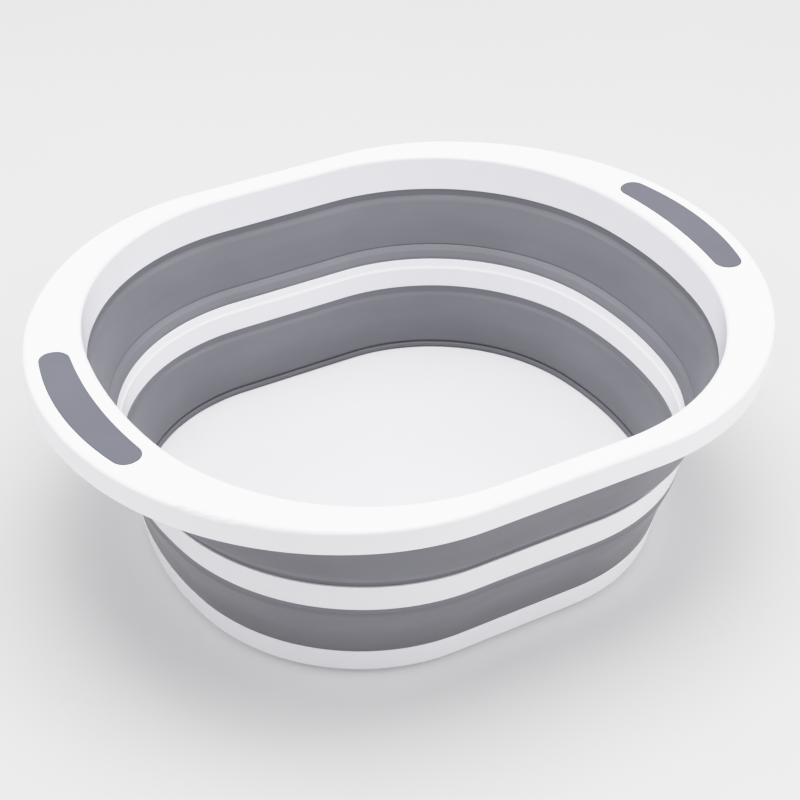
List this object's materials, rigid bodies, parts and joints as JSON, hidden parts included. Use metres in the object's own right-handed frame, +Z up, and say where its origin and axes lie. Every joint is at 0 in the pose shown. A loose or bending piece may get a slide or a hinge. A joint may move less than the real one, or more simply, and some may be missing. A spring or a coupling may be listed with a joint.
{
  "type": "foot spa basin",
  "caption": "Oval folding foot basin: wide rim with soft grip inserts, a rigid middle ring and a flat-floored base, joined by soft bands that fold so the tiers nest.",
  "frame": {"origin": "centre of the basin's footprint, on the floor under the foot pads, with the basin open", "axes": "+X along the length, from one grip towards the other; +Y across the width; +Z up out of the basin"},
  "size_m": [0.4386, 0.3462, 0.1464],
  "materials": {
    "white_plastic": "gloss",
    "band_elastomer": "satin",
    "grip_elastomer": "matte",
    "pad_elastomer": "matte"
  },
  "bodies": {
    "base": {"base_pan": "white_plastic", "base_lip": "white_plastic", "lower_fold_band": "band_elastomer", "front_left_foot_pad": "pad_elastomer", "front_right_foot_pad": "pad_elastomer", "back_left_foot_pad": "pad_elastomer", "back_right_foot_pad": "pad_elastomer"},
    "ring": {"middle_ring": "white_plastic", "upper_fold_band": "band_elastomer"},
    "rim": {"rim_frame": "white_plastic", "left_grip_insert": "grip_elastomer", "right_grip_insert": "grip_elastomer"}
  },
  "joints": [
    {"name": "lower_fold", "type": "slide", "parent": "base", "child": "ring", "axis": [0, 0, 1], "range_m": [-0.047, 0], "deforming": ["lower_fold_band"]},
    {"name": "upper_fold", "type": "slide", "parent": "ring", "child": "rim", "axis": [0, 0, 1], "range_m": [-0.05, 0], "deforming": ["upper_fold_band"]}
  ]
}
